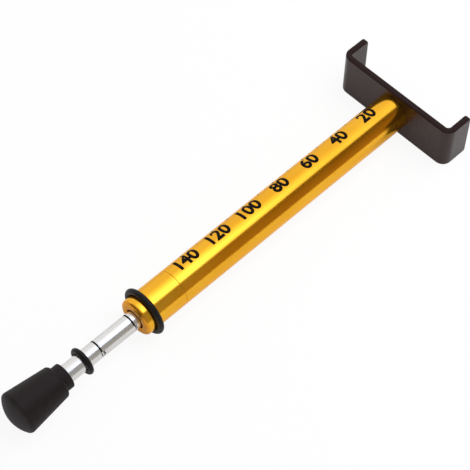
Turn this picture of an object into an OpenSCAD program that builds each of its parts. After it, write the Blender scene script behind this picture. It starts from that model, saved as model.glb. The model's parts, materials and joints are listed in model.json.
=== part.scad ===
// V-belt tension gauge: a spring plunger in a round barrel, with a belt bracket at the far end.
// The tool lies along X on its bracket's edge. The push knob points to -X and the belt channel opens to +X.
// The origin is on the bench, under the middle of the tool.

/* [Barrel] */
// Outside diameter of the barrel tube and of the front cap
barrel_d = 19; // [18:0.5:22]
// Wall of the barrel tube
barrel_wall = 1.5; // [1:0.1:1.8]
// Length of the barrel tube, from the cap seam to the bracket
tube_len = 148; // [130:0.5:180]
// Break on both edges of the cap seam
seam_break = 0.2; // [0.1:0.05:0.4]

/* [Front cap] */
// Length of the cap that shows, from its nose to the seam
cap_len = 24.1; // [22:0.1:32]
// Rounding of the nose
nose_round = 1.75; // [0.5:0.25:2.5]
// Length of the spigot that screws into the tube
spigot_len = 12; // [8:0.5:20]
// Gap between the plunger rod and the mouth of the cap
mouth_gap = 0.7; // [0.4:0.1:1]
// Depth of the mouth, from the nose to the guide bush
mouth_depth = 3; // [1.5:0.5:5]
// Wall of the guide bush
bush_wall = 1.5; // [1:0.1:1.8]
// Length of the guide bush
bush_len = 20; // [12:1:28]

/* [Plunger] */
// Diameter of the plunger rod
rod_d = 9; // [7:0.25:10]
// Length of rod that shows between the cap and the knob
rod_show = 41.5; // [36:0.5:60]
// Chamfer on the outer end of the rod
rod_chamfer = 0.8; // [0.3:0.1:1.2]
// Diameter of the stud on the inner end of the rod
stud_d = 5; // [4:0.5:6]
// Length of stud that stands out of the nut
stud_proud = 1.5; // [0.5:0.5:3]
// Length of the piston that slides in the tube
piston_len = 7; // [5:0.5:12]
// Length of each guiding land of the piston
land_len = 2; // [1:0.25:2.25]
// Depth of the relief between the two lands
relief_depth = 0.5; // [0.2:0.1:1]
// Length of the boss that centres the spring on the piston
boss_len = 5; // [3:0.5:8]
// Thickness of the stop washer that meets the cap
stop_t = 1.5; // [1:0.25:3]
// Thickness of the washer under the nut
nut_washer_t = 1; // [0.5:0.1:1.5]
// Thickness of the nut
nut_t = 4; // [3:0.5:6]

/* [Push knob] */
// Diameter of the knob at its pushing end
knob_end_d = 21.5; // [20:0.1:24]
// Diameter of the knob's body at its shoulder
knob_shoulder_d = 16.6; // [15.8:0.2:19]
// Diameter of the neck round the rod
knob_neck_d = 12.8; // [12.2:0.2:13.6]
// Length of the neck
knob_neck_len = 4.2; // [3:0.1:8]
// Length of the body, from its shoulder to its rim
knob_body_len = 22.4; // [22:0.1:30]
// Slope of the domed end where it meets the rim
dome_slope = 37; // [10:1:45]
// Rounding of the shoulder
shoulder_round = 1.4; // [0.5:0.1:1.5]
// Rounding of the rim
rim_round = 2.2; // [0.5:0.1:3]
// Depth of the socket that takes the rod
socket_depth = 20; // [12:1:24]
// Thickness of the steel disc at the bottom of the socket
disc_t = 1.5; // [0.8:0.1:2]
// How far the disc reaches past the rod
disc_overhang = 1.5; // [1:0.25:2.5]

/* [Spring] */
// Diameter of the spring wire
wire_d = 1.8; // [1.4:0.1:2.2]
// Number of coils from end to end
coils = 27; // [18:1:30]
// Gap between the closed end coils
closed_gap = 0.5; // [0.45:0.05:1]
// Clearance between the spring and the tube
spring_clear = 1; // [0.7:0.1:1.2]
// Clearance between the spring and what centres it
centre_clear = 0.2; // [0.1:0.05:0.4]
// Thickness of the hardened washer behind the spring
seat_t = 1; // [0.5:0.1:2]
// Thickness of the thick shim that sets the zero
thick_shim_t = 0.7; // [0.5:0.1:1.2]
// Thickness of the thin shim that sets the zero
thin_shim_t = 0.3; // [0.1:0.1:0.5]

/* [End plug] */
// Length of the plug in the tube
plug_len = 14; // [12:0.5:20]
// Length of the spigot that centres the spring
plug_spigot_len = 6; // [4:0.5:10]

/* [Bracket] */
// Width of the steel strip
strip_w = 26; // [22:0.5:32]
// Thickness of the steel strip
strip_t = 3.4; // [2.5:0.1:4]
// Width over the two flanges
bracket_w = 71; // [50:0.5:80]
// Length of a flange, from the barrel's end to its tip
flange_len = 16.4; // [11:0.2:24]
// Inside radius of the bends
bend_r = 1.75; // [1:0.25:4]
// Rounding of the flange corners
tip_round = 2; // [0.6:0.2:5]
// Diameter of the screw that holds the bracket
screw_d = 4; // [4:0.5:5]
// Length of the screw in the plug
screw_grip = 10; // [6:0.5:11]
// How far the screw head lies under the belt seat
screw_sink = 0.2; // [0.1:0.05:0.4]
// Width across the flats of the screw's hexagon socket
hex_af = 2.5; // [2:0.25:2.75]
// Depth of the hexagon socket
hex_depth = 1.6; // [1:0.1:2]
// Diameter of the locating pin
pin_d = 2; // [1.5:0.25:2.25]
// Length of the locating pin in the plug
pin_grip = 6; // [3:0.5:9]
// Slot of the rolled locating pin
pin_slot = 0.5; // [0.3:0.1:0.8]
// Sheet thickness of the rolled locating pin
pin_wall = 0.5; // [0.3:0.05:0.6]

/* [Marker rings] */
// Cord of the ring on the barrel, which marks the deflection
deflection_cord = 3; // [2:0.1:3.2]
// Distance of that ring from the nose
deflection_place = 6; // [5:0.1:12]
// Cord of the ring on the rod, which marks the force
force_cord = 2.6; // [2:0.1:3.2]
// Distance of that ring from the knob
force_place = 10.1; // [8:0.1:20]

/* [Fits] */
// Radial clearance of the rod in its bush and of the marker rings
running_clear = 0.05; // [0.02:0.01:0.1]
// Radial clearance of the piston in the tube
piston_clear = 0.1; // [0.05:0.01:0.15]
// Radial clearance of screwed and pressed pieces
seat_clear = 0.03; // [0.02:0.01:0.05]
// Radial clearance of loose washers in the tube
washer_clear = 0.3; // [0.2:0.05:0.5]
// Radial clearance of the nut inside the spring
nut_clear = 0.3; // [0.2:0.05:0.5]

/* [Hidden] */
$fn = 96;
ARC_STEPS = 8;      // straight steps in a rounded corner of a turned outline
CURL_RINGS = 8;     // rings in one curl of the spring
WIRE_SIDES = 6;     // sides of the spring wire
HEAD_RATIO = 1.92;  // head of a countersunk screw over its thread

// Colours of the finishes
GOLD = "#e8a51c";
BRIGHT = "#d9dadb";
BLACK = "#2b2626";
RUBBER = "#1f1d1d";
STEEL = "#9ea1a3";
BRONZE = "#b08050";
NYLON = "#e9e5d8";

// Radii of the barrel and of what fits in it
barrel_r = barrel_d / 2;
bore_r = barrel_r - barrel_wall;
spigot_r = bore_r - seat_clear;
washer_r = bore_r - washer_clear;
spring_r = bore_r - spring_clear;
coil_r = spring_r - wire_d / 2;
// The wire's flats lie a little inside the coil's true circle
spring_bore_r = (coil_r - wire_d / 2 * cos(180 / WIRE_SIDES)) * cos(180 / CURL_RINGS);
boss_r = spring_bore_r - centre_clear;

// Radii of the plunger and of what guides it
rod_r = rod_d / 2;
bush_bore_r = rod_r + running_clear;
bush_r = bush_bore_r + bush_wall;
mouth_r = rod_r + mouth_gap;
stud_r = stud_d / 2;
nut_corner_r = spring_bore_r - nut_clear;
nut_flat_r = nut_corner_r * cos(30);
disc_r = rod_r + disc_overhang;

// Sizes of the bracket and its fasteners
bend_out_r = bend_r + strip_t;
screw_r = screw_d / 2;
screw_hole_r = screw_r + seat_clear;
pin_r = pin_d / 2;
pin_hole_r = pin_r + seat_clear;
// The screw's right-angled cone ends a little under the belt seat
head_r = screw_r * HEAD_RATIO;
head_top = strip_t - screw_sink;
head_land = head_top - (head_r - screw_r);
// The pin stands midway between the screw head and the wall of the tube
pin_offset = (head_r + bore_r) / 2;

// The lying height: the tool rests on whichever reaches lowest
deflection_ring_r = barrel_r + running_clear + deflection_cord / 2;
axis_z = max(strip_w / 2, deflection_ring_r + deflection_cord / 2, knob_end_d / 2);

// The knob's end: a dome that runs smoothly into the rounded rim
rim_centre_r = knob_end_d / 2 - rim_round;
dome_r = rim_centre_r / sin(dome_slope) + rim_round;
knob_dome = rim_round * cos(dome_slope) + dome_r * (1 - cos(dome_slope));

// Stations along the tool, from the flange tips to the end of the knob
knob_len = knob_neck_len + knob_body_len + knob_dome;
overall_len = flange_len + tube_len + cap_len + rod_show + knob_len;
x_tip = overall_len / 2;
x_web = x_tip - flange_len;
x_seam = x_web - tube_len;
x_nose = x_seam - cap_len;
x_neck = x_nose - rod_show;
x_end = x_neck - knob_len;
x_spigot = x_seam + spigot_len;
x_piston = x_spigot + stop_t;
x_boss = x_piston + piston_len;
x_nut_washer = x_boss + boss_len;
x_nut = x_nut_washer + nut_washer_t;
x_stud = x_nut + nut_t + stud_proud;
x_plug = x_web - plug_len;
x_seat = x_plug - seat_t;
x_thin_shim = x_seat - thin_shim_t;
x_thick_shim = x_thin_shim - thick_shim_t;
x_socket = x_neck - socket_depth;
spring_len = x_thick_shim - x_boss;

// Points on an arc, from one angle to another
function arc(centre, r, from, to) =
    [for (i = [0:ARC_STEPS]) let(a = from + (to - from) * i / ARC_STEPS) centre + r * [cos(a), sin(a)]];

// Puts what stands on the local Z axis onto the tool's axis, at station x and pointing to +X
module on_axis(x) {
    translate([x, 0, axis_z]) rotate([0, 90, 0]) children();
}

// A round bar with a hole right through
module tube(outer_r, inner_r, len) {
    rotate_extrude() translate([inner_r, 0]) square([outer_r - inner_r, len]);
}

// The rolled ring of rubber cord
module cord_ring(ring_r, cord_d) {
    rotate_extrude() translate([ring_r, 0]) circle(d = cord_d);
}

module barrel_tube() {
    color(GOLD) on_axis(x_seam) rotate_extrude() polygon([
        [bore_r, 0], [barrel_r - seam_break, 0], [barrel_r, seam_break], [barrel_r, tube_len], [bore_r, tube_len]]);
}

// Turned cap: the rounded nose, the mouth, the seat of the bush and the spigot
module front_cap() {
    nose_arc = arc([barrel_r - nose_round, nose_round], nose_round, -90, 0);
    seat_r = bush_r + seat_clear;
    color(GOLD) on_axis(x_nose) rotate_extrude() polygon(concat(
        [[mouth_r, 0]], nose_arc,
        [[barrel_r, cap_len - seam_break], [barrel_r - seam_break, cap_len], [spigot_r, cap_len],
         [spigot_r, cap_len + spigot_len], [seat_r, cap_len + spigot_len], [seat_r, mouth_depth],
         [mouth_r, mouth_depth]]));
}

module guide_bush() {
    color(BRONZE) on_axis(x_nose + mouth_depth) tube(bush_r, bush_bore_r, bush_len);
}

// Plug screwed into the far end of the tube, with the holes for the screw and the locating pin
module end_plug() {
    color(BRIGHT) on_axis(x_plug) difference() {
        rotate_extrude() polygon([[screw_hole_r, -plug_spigot_len], [boss_r, -plug_spigot_len], [boss_r, 0],
            [spigot_r, 0], [spigot_r, plug_len], [screw_hole_r, plug_len]]);
        translate([-pin_offset, 0, plug_len - pin_grip]) cylinder(r = pin_hole_r, h = pin_grip + 1);
    }
}

// A flat ring round the plug's spigot, behind the spring
module spigot_ring(x, t) {
    color(STEEL) on_axis(x) tube(washer_r, boss_r + centre_clear, t);
}

module seat_washer() spigot_ring(x_seat, seat_t);
module thin_shim() spigot_ring(x_thin_shim, thin_shim_t);
module thick_shim() spigot_ring(x_thick_shim, thick_shim_t);

// Half of the bent strip seen along its width: the web from the middle, the bend and one flange
module half_strip_outline() {
    half_w = bracket_w / 2;
    square([strip_t, half_w - bend_out_r]);
    translate([bend_out_r, half_w - strip_t]) square([flange_len - bend_out_r, strip_t]);
    translate([bend_out_r, half_w - bend_out_r]) intersection() {
        difference() {
            circle(r = bend_out_r);
            circle(r = bend_r);
        }
        translate([-bend_out_r, 0]) square(bend_out_r);
    }
}

// The strip seen along the belt's width, with the flange corners rounded
module flange_outline() {
    translate([0, -strip_w / 2]) square([flange_len - tip_round, strip_w]);
    translate([flange_len - tip_round, tip_round - strip_w / 2]) square([tip_round, strip_w - 2 * tip_round]);
    for (side = [-1, 1])
        translate([flange_len - tip_round, side * (strip_w / 2 - tip_round)]) circle(r = tip_round);
}

// Steel strip bent to a channel that sits over the belt
module belt_bracket() {
    color(BLACK) translate([x_web, 0, axis_z]) difference() {
        intersection() {
            translate([0, 0, -strip_w / 2]) linear_extrude(strip_w) {
                half_strip_outline();
                mirror([0, 1]) half_strip_outline();
            }
            rotate([90, 0, 0]) translate([0, 0, -bracket_w / 2]) linear_extrude(bracket_w) flange_outline();
        }
        rotate([0, 90, 0]) {
            translate([0, 0, -1]) cylinder(r = screw_hole_r, h = strip_t + 2);
            translate([0, 0, head_land]) cylinder(
                r1 = screw_hole_r, r2 = screw_hole_r + strip_t - head_land + 1, h = strip_t - head_land + 1);
            translate([-pin_offset, 0, -1]) cylinder(r = pin_hole_r, h = strip_t + 2);
        }
    }
}

// Countersunk screw, driven from the belt side
module bracket_screw() {
    color(STEEL) on_axis(x_web) difference() {
        rotate_extrude() polygon([[0, -screw_grip], [screw_r, -screw_grip], [screw_r, head_land],
            [head_r, head_top], [0, head_top]]);
        translate([0, 0, head_top - hex_depth])
            cylinder(r = hex_af / 2 / cos(30), h = hex_depth + 1, $fn = 6);
    }
}

// Rolled pin that keeps the bracket square to the barrel
module locating_pin() {
    pin_len = pin_grip + head_top;
    color(STEEL) on_axis(x_web - pin_grip) translate([-pin_offset, 0, 0]) difference() {
        cylinder(r = pin_r, h = pin_len);
        translate([0, 0, -1]) cylinder(r = pin_r - pin_wall, h = pin_len + 2);
        translate([-pin_r, -pin_slot / 2, -1]) cube([pin_r, pin_slot, pin_len + 2]);
    }
}

// Height of the wire's centre after a number of turns: one closed coil at each end, open coils between
closed_pitch = wire_d + closed_gap;
open_pitch = (spring_len - wire_d - 2 * closed_pitch) / (coils - 2);
function wire_height(turns) =
    wire_d / 2 + closed_pitch * min(turns, 1) + open_pitch * min(max(turns - 1, 0), coils - 2)
    + closed_pitch * max(turns - (coils - 1), 0);

// One ring of points round the wire, a number of turns along the spring
function wire_ring(turns) = let(a = 360 * turns)
    [for (j = [0:WIRE_SIDES - 1]) let(
        b = 360 * (j + 0.5) / WIRE_SIDES,
        r = coil_r + wire_d / 2 * cos(b))
        [r * cos(a), r * sin(a), wire_height(turns) + wire_d / 2 * sin(b)]];

last_ring = coils * CURL_RINGS;
curl_gap = min([for (i = [0:last_ring - CURL_RINGS])
    wire_height(i / CURL_RINGS + 1) - wire_height(i / CURL_RINGS)]) - wire_d;
echo(least_gap_between_coils = curl_gap);

// Compression spring as one unbroken wire
module calibrated_spring() {
    points = [for (i = [0:last_ring]) each wire_ring(i / CURL_RINGS)];
    sides = [for (i = [0:last_ring - 1], j = [0:WIRE_SIDES - 1]) let(
        a = i * WIRE_SIDES + j,
        b = i * WIRE_SIDES + (j + 1) % WIRE_SIDES,
        c = a + WIRE_SIDES,
        d = b + WIRE_SIDES) each [[a, b, d], [a, d, c]]];
    start_cap = [for (j = [1:WIRE_SIDES - 2]) [0, j + 1, j]];
    top = last_ring * WIRE_SIDES;
    end_cap = [for (j = [1:WIRE_SIDES - 2]) [top, top + j, top + j + 1]];
    color(STEEL) on_axis(x_boss) polyhedron(points = points, faces = concat(sides, start_cap, end_cap));
}

// Polished rod with a chamfered outer end and the stud that carries the piston
module plunger_rod() {
    rod_len = x_piston - x_socket;
    color(BRIGHT) on_axis(x_socket) rotate_extrude() polygon([
        [0, 0], [rod_r - rod_chamfer, 0], [rod_r, rod_chamfer], [rod_r, rod_len],
        [stud_r, rod_len], [stud_r, x_stud - x_socket], [0, x_stud - x_socket]]);
}

module stop_washer() {
    color(RUBBER) on_axis(x_spigot) tube(washer_r, rod_r + running_clear, stop_t);
}

// Piston with two guiding lands, a relief between them and the boss that centres the spring
module guide_piston() {
    piston_r = bore_r - piston_clear;
    color(NYLON) on_axis(x_piston) rotate_extrude() polygon([
        [stud_r + seat_clear, 0], [piston_r, 0], [piston_r, land_len],
        [piston_r - relief_depth, land_len], [piston_r - relief_depth, piston_len - land_len],
        [piston_r, piston_len - land_len], [piston_r, piston_len], [boss_r, piston_len],
        [boss_r, piston_len + boss_len], [stud_r + seat_clear, piston_len + boss_len]]);
}

module piston_washer() {
    color(STEEL) on_axis(x_nut_washer) tube(boss_r, stud_r + seat_clear, nut_washer_t);
}

module piston_nut() {
    chamfer = nut_corner_r - nut_flat_r;
    color(STEEL) on_axis(x_nut) difference() {
        intersection() {
            cylinder(r = nut_corner_r, h = nut_t, $fn = 6);
            rotate_extrude() polygon([[0, 0], [nut_flat_r, 0], [nut_corner_r, chamfer],
                [nut_corner_r, nut_t - chamfer], [nut_flat_r, nut_t], [0, nut_t]]);
        }
        translate([0, 0, -1]) cylinder(r = stud_r + seat_clear, h = nut_t + 2);
    }
}

// Moulded knob: dome, flared body, shoulder and neck, with the socket for the rod and its disc
module push_knob() {
    shoulder_r = knob_shoulder_d / 2;
    neck_r = knob_neck_d / 2;
    shoulder = knob_dome + knob_body_len;
    flare = atan((knob_end_d / 2 - shoulder_r) / knob_body_len);
    socket = knob_len - socket_depth;
    socket_r = rod_r + seat_clear;
    pocket_r = disc_r + seat_clear;
    color(RUBBER) on_axis(x_end) rotate_extrude() polygon(concat(
        arc([0, dome_r], dome_r, -90, dome_slope - 90),
        arc([rim_centre_r, knob_dome], rim_round, dome_slope - 90, flare),
        arc([shoulder_r - shoulder_round, shoulder - shoulder_round], shoulder_round, flare, 90),
        [[neck_r, shoulder], [neck_r, knob_len], [socket_r, knob_len], [socket_r, socket],
         [pocket_r, socket], [pocket_r, socket - disc_t], [0, socket - disc_t]]));
}

module knob_disc() {
    color(STEEL) on_axis(x_socket - disc_t) cylinder(r = disc_r, h = disc_t);
}

module force_ring() {
    color(RUBBER) on_axis(x_neck + force_place) cord_ring(rod_r + running_clear + force_cord / 2, force_cord);
}

module deflection_ring() {
    color(RUBBER) on_axis(x_nose + deflection_place) cord_ring(deflection_ring_r, deflection_cord);
}

barrel_tube();
front_cap();
guide_bush();
end_plug();
seat_washer();
thin_shim();
thick_shim();
belt_bracket();
bracket_screw();
locating_pin();
calibrated_spring();
plunger_rod();
stop_washer();
guide_piston();
piston_washer();
piston_nut();
push_knob();
knob_disc();
force_ring();
deflection_ring();
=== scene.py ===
# %% [markdown]
# # A belt tension gauge on a white table
# The tool is a spring plunger in a gold barrel. A rubber knob pushes a bright rod into the barrel, a
# black bracket at the far end sits over the belt, and two rubber rings stay where they were pushed, to
# be read later. Its solids come from CAD, and they are exact but plain. Here each piece that shows is
# made again with the small roundings, prints and finishes that the light needs. Everything is in
# metres, in the frame of the solids: +X runs along the barrel from the knob to the bracket, and +Z is
# up from the table.

# %% Load the solids as a fixed frame
import json

import bmesh
import bpy
import numpy as np
from mathutils import Matrix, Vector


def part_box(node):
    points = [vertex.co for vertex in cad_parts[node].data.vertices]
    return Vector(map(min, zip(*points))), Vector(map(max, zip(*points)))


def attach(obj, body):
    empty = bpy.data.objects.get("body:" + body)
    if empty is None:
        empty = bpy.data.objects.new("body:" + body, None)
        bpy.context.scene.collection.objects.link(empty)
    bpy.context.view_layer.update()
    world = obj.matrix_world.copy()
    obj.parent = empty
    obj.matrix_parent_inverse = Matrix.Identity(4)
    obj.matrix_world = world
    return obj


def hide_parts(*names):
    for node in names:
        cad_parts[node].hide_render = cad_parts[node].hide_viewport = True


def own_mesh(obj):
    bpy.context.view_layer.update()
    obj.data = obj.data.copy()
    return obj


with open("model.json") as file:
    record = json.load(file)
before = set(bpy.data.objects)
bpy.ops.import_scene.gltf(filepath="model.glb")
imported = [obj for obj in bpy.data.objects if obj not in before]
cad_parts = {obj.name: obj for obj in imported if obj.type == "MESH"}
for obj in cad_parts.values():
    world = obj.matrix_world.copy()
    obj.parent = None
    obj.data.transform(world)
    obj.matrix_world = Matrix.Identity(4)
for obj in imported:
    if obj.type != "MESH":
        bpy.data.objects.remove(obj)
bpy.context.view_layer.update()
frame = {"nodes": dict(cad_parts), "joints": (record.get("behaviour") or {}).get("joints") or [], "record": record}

# %% [markdown]
# The sizes are read off the solids, so that a new piece sits exactly where the solid sits. A turned
# piece needs only the place of its ends along the barrel and its radius. What a box can't show, such as
# a wall, is written down beside the piece that has it.

# %% Read the main sizes
MM = 0.001


def ends(node):
    """Where a solid starts and stops along the barrel: the x of its two ends, in millimetres."""
    low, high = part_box(node)
    return round(low.x / MM, 3), round(high.x / MM, 3)


def radius_of(node):
    """Half the height of a round solid, in millimetres."""
    low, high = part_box(node)
    return round((high.z - low.z) / 2 / MM, 2)


SEAM, WEB = ends("barrel_tube")
NOSE, SPIGOT = ends("front_cap")
KNOB_END, NECK = ends("push_knob")
SOCKET, STUD_END = ends("plunger_rod")
TIP = ends("belt_bracket")[1]
BARREL_R, ROD_R = radius_of("barrel_tube"), radius_of("plunger_rod")
AXIS = round(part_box("belt_bracket")[1].z / 2 / MM, 3)
print("seam, web, nose, neck, tip:", SEAM, WEB, NOSE, NECK, TIP)
print("barrel radius, rod radius, axis height:", BARREL_R, ROD_R, AXIS)

# %% [markdown]
# The camera looks down on the tool from the knob's side through a long lens, so the barrel hardly
# tapers. It could be aimed by a constraint, but a camera that was measured from a picture also has a
# small roll. So its three axes are worked out from azimuth, elevation and roll, and written into its
# matrix.

# %% Place the camera
AZIMUTH, ELEVATION, ROLL = -0.788954, 0.977915, 0.017291
EYE = np.array([-0.29482, -0.29847, 0.64435])
SENSOR_WIDTH, LENS = 36, 124.6


def turned_axes(azimuth, elevation, roll):
    """Columns of a camera's rotation: right, up and backwards, after a roll about the line of sight."""
    level = np.cos(elevation)
    back = np.array([np.sin(azimuth) * level, -np.cos(azimuth) * level, np.sin(elevation)])
    right = np.cross([0, 0, 1], back)
    right /= np.linalg.norm(right)
    up = np.cross(back, right)
    rolled_right = right * np.cos(roll) + up * np.sin(roll)
    rolled_up = up * np.cos(roll) - right * np.sin(roll)
    return np.stack([rolled_right, rolled_up, back], 1)


placed = np.eye(4)
placed[:3, :3] = turned_axes(AZIMUTH, ELEVATION, ROLL)
placed[:3, 3] = EYE
camera = bpy.data.objects.new("camera", bpy.data.cameras.new("camera"))
camera.data.sensor_fit = "HORIZONTAL"
camera.data.sensor_width = SENSOR_WIDTH
camera.data.lens = LENS
camera.matrix_world = Matrix(placed.tolist())
bpy.context.scene.collection.objects.link(camera)
bpy.context.scene.camera = camera
print("camera at", EYE, "looking along", (-placed[:3, 2]).round(3))

# %% [markdown]
# Most of this tool was made on a lathe, so most pieces are one outline carried round the barrel's axis.
# Blender has a Screw modifier for that. Here the whole grid of points is worked out at once with numpy
# instead, which keeps each outline readable as a list of points, and the same grid also serves the bent
# strip and the spring. The signed volume is printed each time: if a surface were inside out, it would
# come out negative.

# %% Faces of a grid of points
def grid_faces(rows, columns, close_rows=False, close_columns=False):
    """The four corners of each cell of a grid; a closed direction joins its last line to its first."""
    i = np.arange(rows if close_rows else rows - 1)[:, None]
    j = np.arange(columns if close_columns else columns - 1)[None, :]
    below, beside = (i + 1) % rows, (j + 1) % columns
    cells = [i * columns + j, i * columns + beside, below * columns + beside, below * columns + j]
    return np.stack(np.broadcast_arrays(*cells), -1).reshape(-1, 4).tolist()


def end_caps(rows, columns):
    """One face over each open end of a tube whose sections are the rows of a grid."""
    return [list(range(columns))[::-1], list(range((rows - 1) * columns, rows * columns))]


tube_faces = grid_faces(3, 8, close_columns=True) + end_caps(3, 8)
print("a tube of 3 rings of 8 points has", len(tube_faces), "faces")

# %% Make a mesh and measure it
CREASE = 38
DOUBLES = 1e-7


def volume(mesh):
    """Signed volume in cubic millimetres: a sixth of the box product of each triangle's corners, summed."""
    mesh.calc_loop_triangles()
    corners = np.empty(3 * len(mesh.loop_triangles), np.int32)
    mesh.loop_triangles.foreach_get("vertices", corners)
    points = np.empty(3 * len(mesh.vertices))
    mesh.vertices.foreach_get("co", points)
    a, b, c = points.reshape(-1, 3)[corners.reshape(-1, 3)].transpose(1, 0, 2)
    return np.einsum("ij,ij->", a, np.cross(b, c)) / 6 / MM**3


def smoothed(obj, sharp=CREASE):
    """Smooth shading whose normals follow the large faces: a flat face stays flat beside a rounding."""
    obj.data.shade_smooth()
    obj.data.set_sharp_from_angle(angle=np.radians(sharp))
    obj.modifiers.new("flat faces stay flat", "WEIGHTED_NORMAL").keep_sharp = True
    print(f"{obj.name}: {len(obj.data.polygons)} faces, {volume(obj.data):.1f} mm3")
    return obj


def piece(name, points, faces, sharp=CREASE):
    """An object from points in millimetres: doubles merged, smooth, creased above an angle in degrees."""
    mesh = bpy.data.meshes.new(name)
    mesh.from_pydata((np.reshape(points, (-1, 3)) * MM).tolist(), [], faces)
    work = bmesh.new()
    work.from_mesh(mesh)
    bmesh.ops.remove_doubles(work, verts=work.verts, dist=DOUBLES)
    work.to_mesh(mesh)
    work.free()
    obj = bpy.data.objects.new(name, mesh)
    bpy.context.scene.collection.objects.link(obj)
    return smoothed(obj, sharp)


# %% Carry an outline round the barrel's axis
def arc(x, r, size, start, stop, steps=10):
    """A rounded corner of an outline: x + size cos a, r + size sin a; 90 degrees points off the axis."""
    a = np.radians(np.linspace(start, stop, steps + 1))
    return np.stack([x + size * np.cos(a), r + size * np.sin(a)], -1)


def turned(name, *runs, closed=True, around=256, height=None):
    """Turned piece: each point (x, r) of the outline becomes the circle (x, r cos a, height + r sin a).
    The outline runs along +x outside and back along the bore; an open one starts and ends on the axis."""
    outline = np.concatenate([np.atleast_2d(run) for run in runs])
    a = np.linspace(0, 2 * np.pi, around, endpoint=False)
    x, r = outline[:, :1], outline[:, 1:]
    z = (AXIS if height is None else height) + r * np.sin(a)
    points = np.stack(np.broadcast_arrays(x, r * np.cos(a), z), -1)
    faces = grid_faces(len(outline), around, close_rows=closed, close_columns=True)
    return piece(name, points, faces)


print("a quarter round is drawn with", len(arc(0, 0, 1, 0, 90)), "points")

# %% Put a piece in a solid's place
def body_of(node):
    """The body that a solid belongs to."""
    groups = frame["record"]["behaviour"]["bodies"]
    return next(body for body, members in groups.items() if node in members)


def stand_for(obj, node, finish):
    """Puts a new piece in a solid's place: it rides on its body, hides the solid and takes its finish."""
    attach(obj, body_of(node))
    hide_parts(node)
    obj.data.materials.append(finish)


print("the rod rides on", body_of("plunger_rod"), "and the barrel on", body_of("barrel_tube"))

# %% [markdown]
# A finish is a small graph of shader nodes. Made one node at a time it soon grows unreadable, so one
# class wraps a socket and lets Python's own signs add the Math nodes. One method adds every other node:
# its kind, its settings, and then what goes into its sockets. Patterns read Object coordinates, in
# metres, so a scale of 2500 gives specks about 0.4 mm wide, and stretching the coordinates turns the
# specks into drawn or turned lines.

# %% A socket that takes signs
class Value:
    """A socket that can be added, taken away, multiplied and raised to a power, by one Math node each."""

    def __init__(self, graph, socket):
        self.graph, self.socket = graph, socket

    def maths(self, operation, first, second):
        """Adds one Math node on two values."""
        return self.graph.add("Math", {"operation": operation}, {0: first, 1: second})

    def __add__(self, other):
        return self.maths("ADD", self, other)

    def __sub__(self, other):
        return self.maths("SUBTRACT", self, other)

    def __rsub__(self, other):
        return self.maths("SUBTRACT", other, self)

    def __mul__(self, other):
        return self.maths("MULTIPLY", self, other)

    def __pow__(self, other):
        return self.maths("POWER", self, other)

    __radd__, __rmul__ = __add__, __mul__


# %% A graph of nodes
class Graph:
    """The nodes of one material or of the world."""

    def __init__(self, owner):
        owner.use_nodes = True
        self.owner, self.tree = owner, owner.node_tree
        self.tree.nodes.clear()

    def add(self, kind, settings=None, sockets=None, out=0):
        """Adds a node, sets it up, fills its sockets with numbers or links, and returns one output."""
        node = self.tree.nodes.new("ShaderNode" + kind)
        for key, value in (settings or {}).items():
            setattr(node, key, value)
        for key, value in (sockets or {}).items():
            if isinstance(value, Value):
                self.tree.links.new(value.socket, node.inputs[key])
            else:
                node.inputs[key].default_value = value
        return Value(self, node.outputs[out]) if node.outputs else node

    def specks(self, size, stretch=(1, 1, 1), detail=2.0):
        """Noise of a size in millimetres on Object coordinates, drawn out along each axis by a factor."""
        place = self.add("TexCoord", out="Object")
        drawn = self.add("VectorMath", {"operation": "DIVIDE"}, {0: place, 1: stretch})
        return self.add("TexNoise", {}, {"Vector": drawn, "Scale": 1 / (size * MM), "Detail": detail})

    def along(self, axis):
        """One of the three Object coordinates."""
        return self.add("SeparateXYZ", {}, {0: self.add("TexCoord", out="Object")}, out=axis)

    def between(self, value, low, high):
        """Maps a value from low..high to 0..1, and holds it there."""
        return self.add("MapRange", {}, {0: value, 1: low, 2: high})

    def mix(self, factor, first, second):
        """Blends two colours."""
        first, second = [c if isinstance(c, Value) else (*c, 1) for c in (first, second)]
        return self.add("Mix", {"data_type": "RGBA"}, {0: factor, 6: first, 7: second}, out=2)

    def scaled(self, colour, factor):
        """A colour made brighter or darker by a factor."""
        return self.add("VectorMath", {"operation": "SCALE"}, {0: colour, "Scale": factor})

    def bump(self, height, depth):
        """A relief of a depth in millimetres, for a shader's normal."""
        return self.add("Bump", {}, {"Height": height, "Distance": depth * MM})

    def surface(self, **sockets):
        """Ends the graph in one Principled shader."""
        named = {key.replace("_", " "): value for key, value in sockets.items()}
        shader = self.add("BsdfPrincipled", {}, named)
        self.add("OutputMaterial", {}, {"Surface": shader})
        print("finish:", self.owner.name, "with", len(self.tree.nodes), "nodes")
        return self.owner


trial = Graph(bpy.data.materials.new("trial"))
made = (1 - trial.along("X")) * 0.5
print("(1 - x) * 0.5 ends in", made.socket.node.operation, "after", len(trial.tree.nodes), "nodes")
bpy.data.materials.remove(trial.owner)
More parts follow.
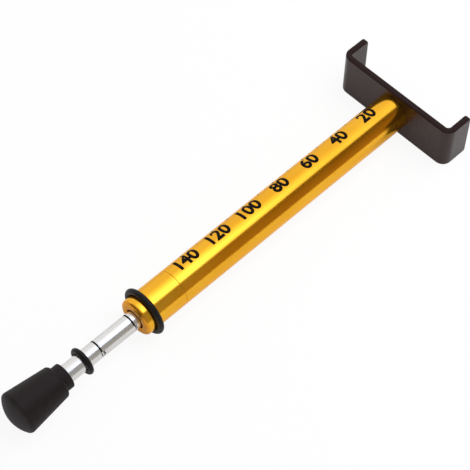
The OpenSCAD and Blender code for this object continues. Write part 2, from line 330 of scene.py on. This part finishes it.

# %% [markdown]
# The barrel is drawn aluminium tube, brightened, dyed gold and sealed. The dye lies in a clear glassy
# film on the metal, so the shader is a gold metal under a clear coat: the coat gives the paler core of
# a highlight. Drawing leaves fine lines along the tube, and the dye takes a little unevenly. The nose's
# face is painted a deeper orange, as painted shade for the shadowed table that it mirrors.

# %% Gold anodised finish
gold = Graph(bpy.data.materials.new("gold_anodised"))
lines = gold.specks(0.5, (60, 1, 1), 3)
cloud = gold.specks(14, (2, 1, 1))
marks = gold.between(gold.specks(0.9, (14, 1, 1), 4), 0.62, 0.8)
uneven = gold.between(cloud * 0.6 + lines * 0.4, 0.35, 0.65)
dye = gold.mix(uneven, (0.86, 0.405, 0.014), (0.93, 0.48, 0.022))
# Painted shade: the nose's face is darkened to a deeper orange, for the shadowed table that it mirrors.
painted_nose_shade = gold.between(gold.along("X"), (NOSE + 1.8) * MM, (NOSE + 0.4) * MM)
gold_finish = gold.surface(
    Base_Color=gold.mix(painted_nose_shade, dye, (0.72, 0.285, 0.012)),
    Metallic=1.0,
    Roughness=0.13 + lines * 0.1 + marks * 0.12,
    Specular_Tint=(1.0, 0.82, 0.55, 1),
    Coat_Weight=0.18 + cloud * 0.12,
    Coat_Roughness=0.08,
    Coat_IOR=1.55,
    Normal=gold.bump(lines + marks * 0.5, 0.003),
)

# %% [markdown]
# The barrel is two turned pieces: a tube, and a front cap that screws into it. Their joint shows as a
# hairline, because both edges are broken by an eighth of a millimetre. The cap's nose is rounded, and
# its mouth leaves a dark gap round the rod.

# %% Barrel tube
BORE_R, BREAK, REAR_BREAK = 8.0, 0.12, 0.15
gold_tube = turned(
    "gold_tube",
    (SEAM, BORE_R),
    arc(SEAM + BREAK, BARREL_R - BREAK, BREAK, 180, 90, 4),
    arc(WEB - REAR_BREAK, BARREL_R - REAR_BREAK, REAR_BREAK, 90, 0, 4),
    (WEB, BORE_R),
)
stand_for(gold_tube, "barrel_tube", gold_finish)

# %% Front cap
GAP, SPIGOT_R, BUSH_SEAT_R = 0.08, 7.97, 6.08
NOSE_ROUND, MOUTH_R, MOUTH_DEPTH, MOUTH_EDGE = 1.75, 5.2, 3.0, 0.25
gold_nose = turned(
    "gold_nose",
    arc(NOSE + MOUTH_EDGE, MOUTH_R + MOUTH_EDGE, MOUTH_EDGE, 270, 180, 5),
    arc(NOSE + NOSE_ROUND, BARREL_R - NOSE_ROUND, NOSE_ROUND, 180, 90, 16),
    arc(SEAM - GAP - BREAK, BARREL_R - BREAK, BREAK, 90, 0, 4),
    (SEAM - GAP, SPIGOT_R),
    (SPIGOT, SPIGOT_R),
    (SPIGOT, BUSH_SEAT_R),
    (NOSE + MOUTH_DEPTH, BUSH_SEAT_R),
    (NOSE + MOUTH_DEPTH, MOUTH_R),
)
stand_for(gold_nose, "front_cap", gold_finish)

# %% [markdown]
# The rod is ground and polished steel. Polishing in a lathe leaves very fine lines round the rod, which
# blur a reflection a little along its length and hardly at all across it.

# %% Polished finish
bright = Graph(bpy.data.materials.new("polished_rod"))
lines = bright.specks(0.12, (1, 30, 30), 3)
haze = bright.specks(6)
bright_finish = bright.surface(
    Base_Color=bright.mix(haze, (0.70, 0.69, 0.67), (0.78, 0.77, 0.755)),
    Metallic=1.0,
    Roughness=0.16 + lines * 0.09 + haze * 0.06,
    Normal=bright.bump(lines, 0.001),
)

# %% Bright rod
PISTON = ends("guide_piston")[0]
CHAMFER, STEP_BREAK, STUD_R, STUD_ROUND = 0.8, 0.2, 2.5, 0.5
bright_rod = turned(
    "bright_rod",
    (SOCKET, 0),
    (SOCKET, ROD_R - CHAMFER),
    (SOCKET + CHAMFER, ROD_R),
    arc(PISTON - STEP_BREAK, ROD_R - STEP_BREAK, STEP_BREAK, 90, 0, 4),
    (PISTON, STUD_R),
    arc(STUD_END - STUD_ROUND, STUD_R - STUD_ROUND, STUD_ROUND, 90, 0, 5),
    (STUD_END, 0),
    closed=False,
)
stand_for(bright_rod, "plunger_rod", bright_finish)

# %% [markdown]
# The knob is moulded rubber: a flared body with a round dome that the palm pushes, a soft rim, a
# shoulder and a short neck that grips the rod. Moulded rubber is matt, with a fine grain and a bloom of
# dust that is a shade lighter than the black. Its dome is painted a little greyer, as painted light.

# %% Black rubber finish
rubber = Graph(bpy.data.materials.new("black_rubber"))
grain = rubber.specks(0.35, detail=3)
bloom = rubber.between(rubber.specks(5, detail=4), 0.4, 0.75)
black = rubber.mix(bloom * 0.7 + grain * 0.3, (0.009, 0.0055, 0.0058), (0.018, 0.0125, 0.013))
# Painted light: the dome is painted greyer, standing in for light that the lamp hardly gives it; the dust bloom
# varies it.
on_dome = rubber.between(rubber.along("X"), (KNOB_END + 4.5) * MM, (KNOB_END + 2) * MM)
painted_dome_light = on_dome * (0.7 + bloom * 0.3)
rubber_finish = rubber.surface(
    Base_Color=rubber.mix(painted_dome_light, black, (0.042, 0.036, 0.037)),
    Roughness=0.5 + bloom * 0.12 + grain * 0.08,
    Specular_IOR_Level=0.2,
    Normal=rubber.bump(grain, 0.012),
)

# %% Rubber knob
KNOB_R, RIM, DOME_SLOPE = radius_of("push_knob"), 2.2, 37
SHOULDER_R, SHOULDER_ROUND, FILLET = 8.3, 1.4, 0.3
NECK_R, NECK_LEN, NECK_EDGE, SNUG = 6.4, 4.2, 0.25, 0.03
DISC_R, DISC_T = radius_of("knob_disc") + SNUG, 1.5
rim_r = KNOB_R - RIM
dome_r = rim_r / np.sin(np.radians(DOME_SLOPE)) + RIM
rim_x = KNOB_END + dome_r - (dome_r - RIM) * np.cos(np.radians(DOME_SLOPE))
shoulder = NECK - NECK_LEN
flare = np.degrees(np.arctan((KNOB_R - SHOULDER_R) / (shoulder - rim_x)))
rubber_knob = turned(
    "rubber_knob",
    arc(KNOB_END + dome_r, 0, dome_r, 180, 180 - DOME_SLOPE, 24),
    arc(rim_x, rim_r, RIM, 180 - DOME_SLOPE, 90 - flare, 14)[1:],
    arc(shoulder - SHOULDER_ROUND, SHOULDER_R - SHOULDER_ROUND, SHOULDER_ROUND, 90 - flare, 0, 10),
    arc(shoulder + FILLET, NECK_R + FILLET, FILLET, 180, 270, 6),
    arc(NECK - NECK_EDGE, NECK_R - NECK_EDGE, NECK_EDGE, 90, 0, 6),
    arc(NECK - NECK_EDGE, ROD_R + SNUG + NECK_EDGE, NECK_EDGE, 0, -90, 4),
    (SOCKET, ROD_R + SNUG),
    (SOCKET, DISC_R),
    (SOCKET - DISC_T, DISC_R),
    (SOCKET - DISC_T, 0),
    closed=False,
)
stand_for(rubber_knob, "push_knob", rubber_finish)

# %% [markdown]
# The two marker rings are plain O-rings. An O-ring is moulded in two halves, and a trimmed line of
# flash is left round its outside and its inside: a ridge of a few hundredths of a millimetre, which
# catches the light.

# %% Ring rubber finish
ring = Graph(bpy.data.materials.new("ring_rubber"))
grain = ring.specks(0.3, detail=3)
wear = ring.specks(3)
ring_finish = ring.surface(
    Base_Color=ring.mix(wear, (0.006, 0.0055, 0.005), (0.012, 0.01, 0.009)),
    Roughness=0.36 + grain * 0.14,
    Specular_IOR_Level=0.18,
    Normal=ring.bump(grain, 0.006),
)

# %% Marker rings
FLASH, FLASH_WIDTH, HUG = 0.03, 0.06, 0.045


def cord_ring(name, node):
    """O-ring: a circle of cord whose radius swells in a narrow ridge where the halves of the mould met.
    Its inner half is drawn in by a few hundredths, so that it hugs what it sits on."""
    start, stop = ends(node)
    cord = (stop - start) / 2
    b = np.linspace(0, 2 * np.pi, 72, endpoint=False)
    r = cord - FLASH + FLASH * np.exp(-(np.sin(b) / FLASH_WIDTH) ** 2)
    hug = HUG * np.clip(-np.cos(b), 0, 1) ** 4
    x = (start + stop) / 2 + r * np.sin(b)
    away = radius_of(node) - cord + r * np.cos(b) - hug
    return turned(name, np.stack([x, away], -1), around=192)


large_ring = cord_ring("large_ring", "deflection_ring")
small_ring = cord_ring("small_ring", "force_ring")
stand_for(large_ring, "deflection_ring", ring_finish)
stand_for(small_ring, "force_ring", ring_finish)

# %% [markdown]
# The bracket is a length of flat steel bar, bent to a channel and coated black. The coat is a satin
# film with a faint peel, and it is duller on the long edges of the bar.

# %% Black coated finish
coat = Graph(bpy.data.materials.new("black_coat"))
peel = coat.specks(0.6, detail=3)
film = coat.specks(9)
off_middle = coat.along("Z") - AXIS * MM
dull = coat.between(off_middle * off_middle, ((AXIS - 0.8) * MM) ** 2, ((AXIS - 0.2) * MM) ** 2)
coat_finish = coat.surface(
    Base_Color=coat.mix(film, (0.006, 0.0028, 0.0028), (0.0095, 0.005, 0.005)),
    Roughness=0.22 + film * 0.07 + peel * 0.06 + dull * 0.45,
    Specular_IOR_Level=0.45,
    Specular_Tint=(1.0, 0.62, 0.61, 1),
    Normal=coat.bump(peel, 0.008),
)

# %% [markdown]
# The bar's section, a rectangle with rounded edges, is carried along the bent middle line of the bar.
# Near each tip the section grows narrower along a quarter circle, which rounds the corners. A cube with
# a Bevel modifier would round every edge alike, and could not follow the bend.

# %% Middle line of the bent strip
STRIP_T, BEND_R, TIP_ROUND, EDGE = 3.4, 1.75, 2.0, 1.0
HALF_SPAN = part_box("belt_bracket")[1].y / MM
HALF_WIDTH = AXIS


def strip_middle():
    """Half of the bar's middle line, from the barrel to a tip: points, outward directions, way to the tip.
    A straight web, a quarter circle round a centre inside the channel, and a straight flange. The outward
    direction is (-cos a, sin a), where a runs from 0 on the web to 90 degrees on the flange."""
    bend = BEND_R + STRIP_T
    centre_x, centre_y = WEB + bend, HALF_SPAN - bend
    web_y = np.linspace(0, centre_y, 13)[:-1]
    bend_a = np.radians(np.linspace(0, 90, 19))
    corner = TIP_ROUND * (1 - np.sin(np.linspace(0, np.pi / 2, 12)))
    edge = EDGE * (1 - np.sin(np.linspace(0, np.pi / 2, 7)))
    to_tip = np.unique(np.concatenate([corner[:-1], edge]).round(6))[::-1]
    flange_x = np.concatenate([np.linspace(centre_x, TIP - TIP_ROUND, 8)[1:-1], TIP - to_tip])
    a = np.concatenate([np.zeros(len(web_y)), bend_a, np.full(len(flange_x), np.pi / 2)])
    x = np.concatenate([np.full(len(web_y) + len(bend_a), centre_x), flange_x])
    y = np.concatenate([web_y, np.full(len(bend_a) + len(flange_x), centre_y)])
    out = np.stack([-np.cos(a), np.sin(a)], -1)
    middle = np.stack([x, y], -1) + out * (bend - STRIP_T / 2)
    return middle, out, TIP - middle[:, 0]


print("sections on half of the strip:", len(strip_middle()[0]))

# %% Bent strip
CORNER_POINTS = 7


def drawn_in(size, left):
    """What a quarter circle takes off near its end: size - sqrt(size^2 - (size - left)^2)."""
    return size - np.sqrt(np.maximum(size**2 - np.clip(size - left, 0, size) ** 2, 0))


def bent_strip(name):
    """Carries the rounded section along the middle line: point = middle + outward * n + up * z.
    Half the width shrinks as a quarter circle over the last stretch, and so does the very edge."""
    middle, out, left = strip_middle()
    flip = np.array([1, -1])
    middle = np.concatenate([middle[:0:-1] * flip, middle])
    out = np.concatenate([out[:0:-1] * flip, out])
    left = np.concatenate([left[:0:-1], left])[:, None]
    quarter = np.radians(np.linspace(0, 90, CORNER_POINTS))
    corner = np.repeat(np.radians([0, 90, 180, 270]), CORNER_POINTS) + np.tile(quarter, 4)
    side = np.repeat([[1, 1], [-1, 1], [-1, -1], [1, -1]], CORNER_POINTS, 0)
    rounding = EDGE - drawn_in(EDGE, left)
    n = side[:, 0] * (STRIP_T / 2 - EDGE) + rounding * np.cos(corner)
    z = side[:, 1] * (HALF_WIDTH - EDGE - drawn_in(TIP_ROUND, left)) + rounding * np.sin(corner)
    xy = middle[:, None, :] + out[:, None, :] * n[..., None]
    points = np.concatenate([xy, z[..., None] + AXIS], -1)
    rows, columns = points.shape[:2]
    faces = grid_faces(rows, columns, close_columns=True) + end_caps(rows, columns)
    return piece(name, points, faces)


black_bracket = bent_strip("black_bracket")

# %% [markdown]
# The web has a countersunk hole for its one screw and a small hole for the locating pin. They are cut
# as a drill would cut them: two turned cutters are taken out of the strip by Boolean modifiers, which
# are then applied, so that the cutters can go.

# %% Drill the web
SCREW_HOLE_R, HEAD_LAND, PIN_HOLE_R, PAST = 2.03, 1.36, 1.03, 1
pin_low, pin_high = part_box("locating_pin")
pin_height = (pin_low.z + pin_high.z) / 2 / MM
first, last = WEB - PAST, WEB + STRIP_T + PAST
cone_end = SCREW_HOLE_R + STRIP_T - HEAD_LAND + PAST
countersink = turned(
    "countersink",
    (first, 0),
    (first, SCREW_HOLE_R),
    (WEB + HEAD_LAND, SCREW_HOLE_R),
    (last, cone_end),
    (last, 0),
    closed=False,
    around=96,
)
pin_drill = turned(
    "pin_drill",
    (first, 0),
    (first, PIN_HOLE_R),
    (last, PIN_HOLE_R),
    (last, 0),
    closed=False,
    around=48,
    height=pin_height,
)
black_bracket.modifiers.clear()
for drill in (countersink, pin_drill):
    cut = black_bracket.modifiers.new(drill.name, "BOOLEAN")
    cut.operation, cut.solver, cut.object = "DIFFERENCE", "EXACT", drill
drilled = black_bracket.evaluated_get(bpy.context.evaluated_depsgraph_get())
black_bracket.data = bpy.data.meshes.new_from_object(drilled)
black_bracket.modifiers.clear()
for drill in (countersink, pin_drill):
    bpy.data.objects.remove(drill)
smoothed(black_bracket)
stand_for(black_bracket, "belt_bracket", coat_finish)

# %% [markdown]
# The spring is one unbroken wire. Its middle line climbs slowly through a closed coil at each end and
# faster through the open coils between. A tube round that line needs two directions square to it: one
# points away from the axis, and the other follows from the slope of the climb.

# %% Spring wire
WIRE_R, COILS, CLOSED_GAP, COIL_R = 0.9, 27, 0.5, 6.1
SPRING_START, SPRING_END = ends("calibrated_spring")


def spring_wire(name, per_coil=40, sides=14):
    """Tube round a helix: x climbs with the turns t, on the circle COIL_R (sin 2 pi t, -cos 2 pi t).
    Its point b lies COIL_R + WIRE_R cos b away and WIRE_R sin b along, and leans with the climb."""
    t = np.linspace(0, COILS, COILS * per_coil + 1)
    closed = 2 * WIRE_R + CLOSED_GAP
    open_pitch = (SPRING_END - SPRING_START - 2 * WIRE_R - 2 * closed) / (COILS - 2)
    climb = closed * np.minimum(t, 1) + open_pitch * np.clip(t - 1, 0, COILS - 2)
    climb += closed * np.maximum(t - COILS + 1, 0)
    x = SPRING_START + WIRE_R + climb[:, None]
    lean = np.arctan(np.gradient(climb, t) / (2 * np.pi * COIL_R))[:, None]
    b = np.linspace(0, 2 * np.pi, sides, endpoint=False)
    away, along = COIL_R + WIRE_R * np.cos(b), WIRE_R * np.sin(b)
    back = -along * np.sin(lean)
    ca, sa = np.cos(2 * np.pi * t)[:, None], np.sin(2 * np.pi * t)[:, None]
    points = np.stack([x + along * np.cos(lean), away * sa + back * ca, AXIS - away * ca + back * sa], -1)
    faces = grid_faces(len(t), sides, close_columns=True) + end_caps(len(t), sides)
    return piece(name, points, faces, sharp=60)


wire = Graph(bpy.data.materials.new("spring_steel"))
lines = wire.specks(0.2, detail=3)
wire_finish = wire.surface(
    Base_Color=wire.mix(lines, (0.28, 0.285, 0.29), (0.4, 0.405, 0.41)),
    Metallic=1.0,
    Roughness=0.28 + lines * 0.16,
    Normal=wire.bump(lines, 0.003),
)
coil_spring = spring_wire("coil_spring")
stand_for(coil_spring, "calibrated_spring", wire_finish)

# %% How far the plunger goes in
slide = next(joint for joint in frame["joints"] if joint["name"] == "plunger_slide")
travel = slide["range_m"][1] / MM
1 - travel / (SPRING_END - SPRING_START)
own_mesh(coil_spring)
print("the spring shortens by", round(travel, 2), "of", round(SPRING_END - SPRING_START, 2), "mm")

# %% [markdown]
# The marks are printed: black ink a few hundredths of a millimetre thick. They could be painted by the
# shader, but printed edges stay sharp as real geometry. Numbers and lines are laid out flat, cut into
# narrow strips, and rolled onto the round: along the barrel stays along x, and across the print becomes
# an angle.

# %% Ink
ink = Graph(bpy.data.materials.new("black_ink"))
grain = ink.specks(0.25, detail=3)
ink_finish = ink.surface(
    Base_Color=ink.mix(grain, (0.005, 0.003, 0.0015), (0.012, 0.008, 0.005)),
    Roughness=0.55 + grain * 0.2,
    Specular_IOR_Level=0.06,
    Normal=ink.bump(grain, 0.003),
)

# %% Lay out marks flat
FIGURE_SHARE = 0.7


def number(text, height, weight, narrow=1.0):
    """A number as a flat mesh in millimetres, centred on the origin, with fattened strokes."""
    curve = bpy.data.curves.new("number", "FONT")
    curve.body, curve.size = text, height / FIGURE_SHARE
    curve.offset, curve.resolution_u = weight, 6
    figures = bpy.data.objects.new("number", curve)
    bpy.context.scene.collection.objects.link(figures)
    shown = figures.evaluated_get(bpy.context.evaluated_depsgraph_get())
    mesh = bpy.data.meshes.new_from_object(shown)
    points = np.empty(3 * len(mesh.vertices), np.float32)
    mesh.vertices.foreach_get("co", points)
    points = points.reshape(-1, 3)
    middle = (points.max(0) + points.min(0)) / 2
    mesh.transform(Matrix.Diagonal((narrow, 1, 1, 1)) @ Matrix.Translation((-middle).tolist()))
    bpy.data.objects.remove(figures)
    bpy.data.curves.remove(curve)
    return mesh


def bar(width, length):
    """A flat line: width along x, length along y, centred on the origin."""
    mesh = bpy.data.meshes.new("bar")
    corners = np.array([[-1, -1, 0], [1, -1, 0], [1, 1, 0], [-1, 1, 0]]) * [width / 2, length / 2, 0]
    mesh.from_pydata(corners.tolist(), [], [[0, 1, 2, 3]])
    return mesh


# %% Roll marks onto a round
INK_LIFT, INK_FILM = 0.02, 0.03


def printed(name, marks, r, node, strip=0.3):
    """Rolls flat marks on a round of radius r: x stays, and y becomes the angle a = top - y / r, with
    y' = r cos a and z' = axis + r sin a. Marks are (mesh, x, degrees round from +Y)."""
    flat = bmesh.new()
    for mesh, x, degrees in marks:
        mesh.transform(Matrix.Translation((x, r * np.radians(90 - degrees), 0)))
        flat.from_mesh(mesh)
        bpy.data.meshes.remove(mesh)
    reach = np.array([v.co.y for v in flat.verts])
    for y in np.arange(reach.min() + strip, reach.max(), strip):
        everything = flat.verts[:] + flat.edges[:] + flat.faces[:]
        bmesh.ops.bisect_plane(flat, geom=everything, plane_co=(0, y, 0), plane_no=(0, 1, 0))
    mesh = bpy.data.meshes.new(name)
    flat.to_mesh(mesh)
    flat.free()
    points = np.empty(3 * len(mesh.vertices))
    mesh.vertices.foreach_get("co", points)
    x, y = points.reshape(-1, 3)[:, :2].T
    a = np.pi / 2 - y / r
    lifted = r + INK_LIFT
    rolled = np.stack([x, lifted * np.cos(a), AXIS + lifted * np.sin(a)], -1) * MM
    mesh.vertices.foreach_set("co", rolled.ravel())
    mesh.shade_smooth()
    mesh.materials.append(ink_finish)
    obj = bpy.data.objects.new(name, mesh)
    bpy.context.scene.collection.objects.link(obj)
    layer = obj.modifiers.new("ink film", "SOLIDIFY")
    layer.thickness, layer.offset = INK_FILM * MM, -1
    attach(obj, body_of(node))
    print(f"{name}: {len(marks)} marks, {len(mesh.polygons)} faces")


# %% [markdown]
# The barrel carries a plain scale of millimetres, counted from the face that touches the belt: a number
# every 20 mm, and a tick every 5 mm, longer at the tens and longest at the numbers.

# %% Barrel scale
SEAT = WEB + STRIP_T
FIGURE_TALL, FIGURE_WEIGHT, FIGURE_NARROW, FIGURE_AT, TICK_TOP = 7.0, 0.36, 0.92, 70, 35
TICKS = {20: (0.8, 1.6), 10: (0.55, 1.2), 5: (0.55, 0.8)}
marks = []
for n in range(20, 141, 20):
    marks.append((number(str(n), FIGURE_TALL, FIGURE_WEIGHT, FIGURE_NARROW), SEAT - n, FIGURE_AT))
for n in range(15, 146, 5):
    wide, long = next(size for step, size in TICKS.items() if n % step == 0)
    marks.append((bar(wide, long), SEAT - n, TICK_TOP + np.degrees(long / 2 / BARREL_R)))
printed("barrel_scale", marks, BARREL_R, "barrel_tube")

# %% [markdown]
# The rod has two lines, where the spring gives 5 and 15 pounds of force. Each goes a third of the way
# round, over the top, and its number stands past the end that faces the camera.

# %% Rod marks
FORCE_MARKS = {"5": NOSE - 3.3, "15": NOSE - 22.8}
LINE_WIDE, LINE_ROUND, LINE_AT = 0.85, 118, 88
FORCE_TALL, FORCE_WEIGHT, FORCE_SHIFT, FORCE_AT = 2.0, 0.1, 0.5, 163
marks = [(bar(LINE_WIDE, ROD_R * np.radians(LINE_ROUND)), x, LINE_AT) for x in FORCE_MARKS.values()]
for text, x in FORCE_MARKS.items():
    marks.append((number(text, FORCE_TALL, FORCE_WEIGHT), x + FORCE_SHIFT, FORCE_AT))
printed("rod_scale", marks, ROD_R, "plunger_rod", strip=0.2)

# %% [markdown]
# The pieces inside keep their exact solids and get the finishes of a workshop: oiled bronze, turned
# aluminium, zinc plated steel and white nylon. Only the screw's head and the pin's end show, in the
# channel of the bracket.

# %% Finishes of the inner pieces
def metal(name, dark, light, size, stretch, rough, spread, relief):
    """A worked metal: two shades and a roughness that follow fine lines or specks."""
    graph = Graph(bpy.data.materials.new(name))
    lines = graph.specks(size, stretch, 3)
    patch = graph.specks(size * 12)
    return graph.surface(
        Base_Color=graph.mix(lines * 0.5 + patch * 0.5, dark, light),
        Metallic=1.0,
        Roughness=rough + lines * spread,
        Normal=graph.bump(lines, relief),
    )


EVEN, ROUND_AND_ROUND = (1, 1, 1), (1, 20, 20)
bronze_finish = metal("bronze", (0.36, 0.18, 0.08), (0.52, 0.29, 0.14), 0.2, EVEN, 0.38, 0.2, 0.006)
turned_finish = metal("plain_aluminium", (0.62, 0.62, 0.63), (0.78, 0.78, 0.79), 0.15, ROUND_AND_ROUND,
                      0.24, 0.14, 0.003)
zinc_finish = metal("plain_steel", (0.4, 0.42, 0.44), (0.54, 0.55, 0.55), 0.3, EVEN, 0.28, 0.18, 0.004)
nylon = Graph(bpy.data.materials.new("nylon"))
lines = nylon.specks(0.15, ROUND_AND_ROUND, 3)
nylon_finish = nylon.surface(
    Base_Color=nylon.mix(lines, (0.74, 0.71, 0.62), (0.84, 0.82, 0.74)),
    Roughness=0.42 + lines * 0.14,
    Subsurface_Weight=0.1,
    Normal=nylon.bump(lines, 0.004),
)

# %% Dress the inner pieces
inner = {
    "guide_bush": bronze_finish,
    "end_plug": turned_finish,
    "guide_piston": nylon_finish,
    "stop_washer": rubber_finish,
}
zinc_plated = ("seat_washer", "thin_shim", "thick_shim", "bracket_screw", "locating_pin", "piston_washer",
               "piston_nut", "knob_disc")
inner.update(dict.fromkeys(zinc_plated, zinc_finish))
for node, finish in inner.items():
    for place in frame["nodes"][node].material_slots:
        place.material = finish
print("inner pieces dressed:", len(inner))

# %% [markdown]
# The tool lies on a white table. It could be a plain white surface under strong light, but then the
# light would bleach the tool too. So the table is white by itself to the camera, and partly so in
# reflections, and still takes a part of the real shadow.

# %% Table
def stage_plane(name, corners, owner):
    """A flat sheet of the set, which is no part of the tool."""
    mesh = bpy.data.meshes.new(name)
    mesh.from_pydata(corners, [], [list(range(len(corners)))])
    obj = bpy.data.objects.new(name, mesh)
    bpy.context.scene.collection.objects.link(obj)
    mesh.materials.append(owner)
    return obj


def seen_directly(graph, mirrored=1.0):
    """1 for rays straight from the camera, and a share of it for rays from a mirror or through glass."""
    kinds = ("Is Camera Ray", "Is Glossy Ray", "Is Transmission Ray")
    straight, glossy, through = [graph.add("LightPath", out=kind) for kind in kinds]
    return straight + (glossy + through) * mirrored


TABLE_WHITE, TABLE_MIRRORED = 0.9, 0.3
paper = Graph(bpy.data.materials.new("white_paper"))
lit = paper.add("BsdfDiffuse", {}, {"Color": (0.9, 0.9, 0.9, 1)})
white = paper.add("Emission", {}, {"Color": (1, 1, 1, 1), "Strength": 1.01})
own_light = seen_directly(paper, TABLE_MIRRORED) * TABLE_WHITE
shown = paper.add("MixShader", {}, {0: own_light, 1: lit, 2: white})
paper.add("OutputMaterial", {}, {"Surface": shown})
stage_plane("table", [(-3, -3, 0), (3, -3, 0), (3, 3, 0), (-3, 3, 0)], paper.owner)
print("table at z = 0, finish with", len(paper.tree.nodes), "nodes")

# %% [markdown]
# One large soft lamp lights the tool. Gold and chrome are mirrors, so what stands round them is half of
# their look, and a photographer sets cards round such a tool. Here the cards are sheets that show in
# reflections alone: a glowing panel overhead draws the bright stripe along the barrel, a dim room in
# front draws the dark stripe under it, and two dim walls stand beyond the ends.

# %% Soft lamp
lamp = bpy.data.lights.new("soft_lamp", "AREA")
lamp.shape = "RECTANGLE"
lamp.size, lamp.size_y = 1.1, 0.78
lamp.energy = 10.5
hung = bpy.data.objects.new("soft_lamp", lamp)
hung.location = (0.6, -0.3, 1.0)
hung.visible_glossy = False
bpy.context.scene.collection.objects.link(hung)
print("lamp radiance:", round(lamp.energy / (np.pi * lamp.size * lamp.size_y), 2))

# %% Glowing panel overhead
def mirrored_only(name, corners, graph, colour):
    """A glowing sheet that shows in reflections and nowhere else, as a card beside the camera does."""
    graph.add("OutputMaterial", {}, {"Surface": graph.add("Emission", {}, {"Color": colour})})
    sheet = stage_plane(name, corners, graph.owner)
    sheet.visible_camera = sheet.visible_diffuse = False
    sheet.visible_shadow = sheet.visible_transmission = False
    print(f"{name}: shows in reflections, finish with {len(graph.tree.nodes)} nodes")


PANEL_HEIGHT = 1.0
PANEL_OUTLINE = [(-1.0, -0.6), (-1.0, 1.6), (2.2, 1.6), (2.2, 0.2), (1.07, 0.2), (0.44, -0.6)]
glow = Graph(bpy.data.materials.new("glow_panel"))
x, y = glow.along("X"), glow.along("Y")
# A brighter, bluer patch starts sharply at one side, and fades along and across the panel.
hot = glow.between(x, 0.22, 0.295) * (1 - glow.between(x, 0.295, 0.605) * 0.85)
hot *= (1 - glow.between(y, -0.1, 0.9)) ** 1.5
# The rest fades towards the knob's end, and is dim along the front edge.
power = 0.25 + glow.between(x, -0.7, -0.1) * 0.75 + hot * 2.2
power *= 0.35 + glow.between(y, -0.54, -0.46) * 0.65
light = glow.scaled(glow.mix(hot, (1, 1, 1), (0.9, 1.0, 1.4)), power)
mirrored_only("glow_panel", [(*corner, PANEL_HEIGHT) for corner in PANEL_OUTLINE], glow, light)

# %% Dim room and walls
ROOM_Y, ROOM_TOP = -0.62, 1.6
dim = Graph(bpy.data.materials.new("dim_room"))
x, z = dim.along("X"), dim.along("Z")
# The room turns from grey to brown along a slanted line, going towards the bracket.
deep = x - z * 0.235
shade = dim.mix(dim.between(deep, 0.12, 0.17), (0.39, 0.39, 0.385), (0.38, 0.26, 0.12))
shade = dim.mix(dim.between(deep, 0.195, 0.365), shade, (0.26, 0.17, 0.09))
# It grows darker upwards, and more so past that line.
fall = 1.12 - z * 0.2
fall += dim.between(deep, 0.27, 0.38) * (0.42 + dim.between(z, 1.1, 0.0) * 1.2 - fall)
corners = [(-0.8, ROOM_Y, 0.0), (2.0, ROOM_Y, 0.0), (2.0, ROOM_Y, ROOM_TOP), (-0.8, ROOM_Y, ROOM_TOP)]
mirrored_only("dim_room", corners, dim, dim.scaled(shade, fall))
for name, wall_x in (("knob_wall", -0.9), ("bracket_wall", 2.2)):
    wall = Graph(bpy.data.materials.new(name))
    shade = wall.mix(wall.between(wall.along("Z"), 0, 1), (0.3, 0.28, 0.26), (0.2, 0.19, 0.18))
    corners = [(wall_x, -0.6, 0.0), (wall_x, 1.6, 0.0), (wall_x, 1.6, 1.0), (wall_x, -0.6, 1.0)]
    mirrored_only(name, corners, wall, shade)

# %% Sky
bpy.context.scene.world = bpy.data.worlds.new("white_room")
sky = Graph(bpy.context.scene.world)
strength = 0.45 + seen_directly(sky) * 0.55
backdrop = sky.add("Background", {}, {"Color": (1, 1, 1, 1), "Strength": strength})
sky.add("OutputWorld", {}, {"Surface": backdrop})
bpy.context.scene.view_settings.view_transform = "Standard"
print("sky with", len(sky.tree.nodes), "nodes")
